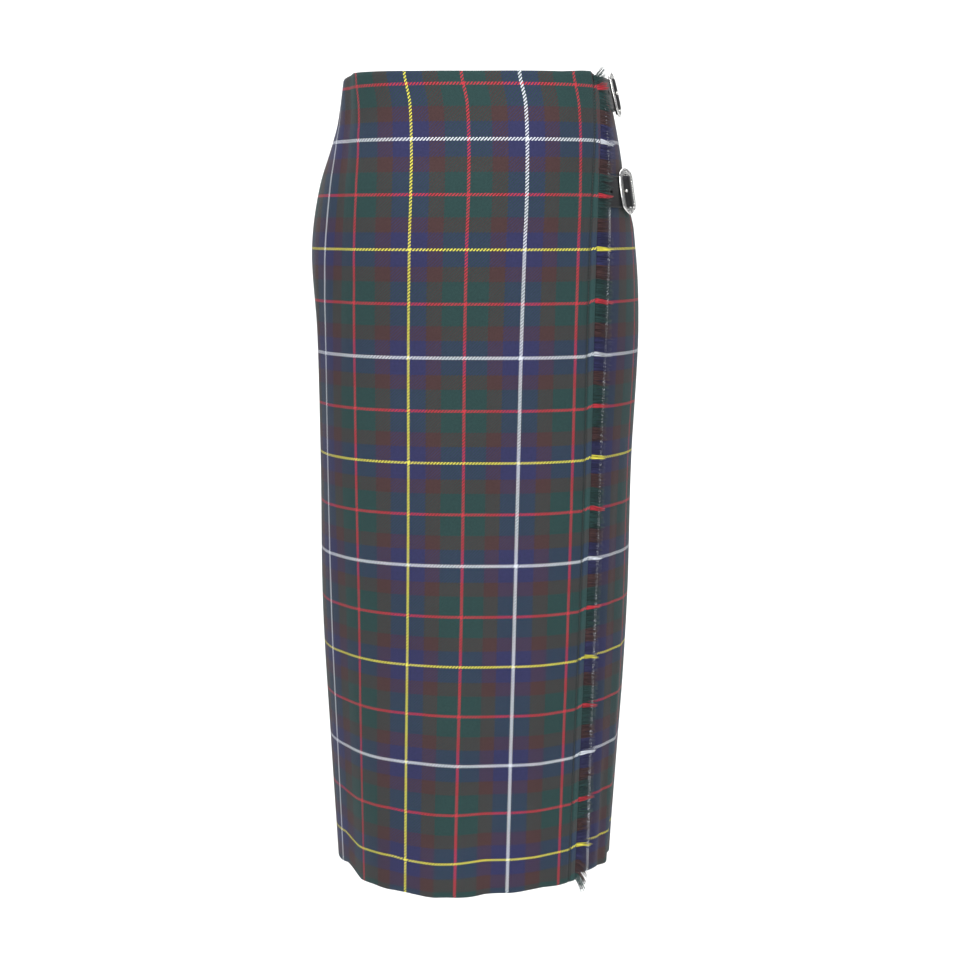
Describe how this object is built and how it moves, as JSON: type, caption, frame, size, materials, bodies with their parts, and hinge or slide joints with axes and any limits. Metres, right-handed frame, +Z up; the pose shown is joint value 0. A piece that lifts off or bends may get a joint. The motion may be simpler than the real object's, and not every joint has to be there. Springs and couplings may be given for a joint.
{
  "type": "tartan wrap skirt",
  "caption": "Long, straight tartan wrap skirt in its hollow worn form, with a fringed free edge and leather straps and buckles that close it at the hip.",
  "frame": {"origin": "middle of the waist opening, level with the top edge", "axes": "+Z up, the front faces -Y, and +X is towards the wearer's left, where the free edge and the buckles are"},
  "size_m": [0.3489, 0.2802, 0.8602],
  "materials": {
    "tartan_over": "twill-woven worsted wool in a green, blue and brown check with fine white, red and yellow lines",
    "tartan_under": "the same twill-woven tartan",
    "tartan_back": "the same twill-woven tartan",
    "fringe_wool": "frayed ends of the cloth's own yarns",
    "strap_leather": "smooth black leather with a soft shine",
    "buckle_metal": "polished silver-coloured cast metal with darkened hollows"
  },
  "bodies": {
    "root": {"over_apron": "tartan_over", "under_apron": "tartan_under", "back_panel": "tartan_back", "fringe": "fringe_wool", "strap_upper": "strap_leather", "tab_upper": "strap_leather", "buckle_upper": "buckle_metal", "prong_upper": "buckle_metal", "strap_lower": "strap_leather", "tab_lower": "strap_leather", "buckle_lower": "buckle_metal", "prong_lower": "buckle_metal"}
  },
  "joints": []
}
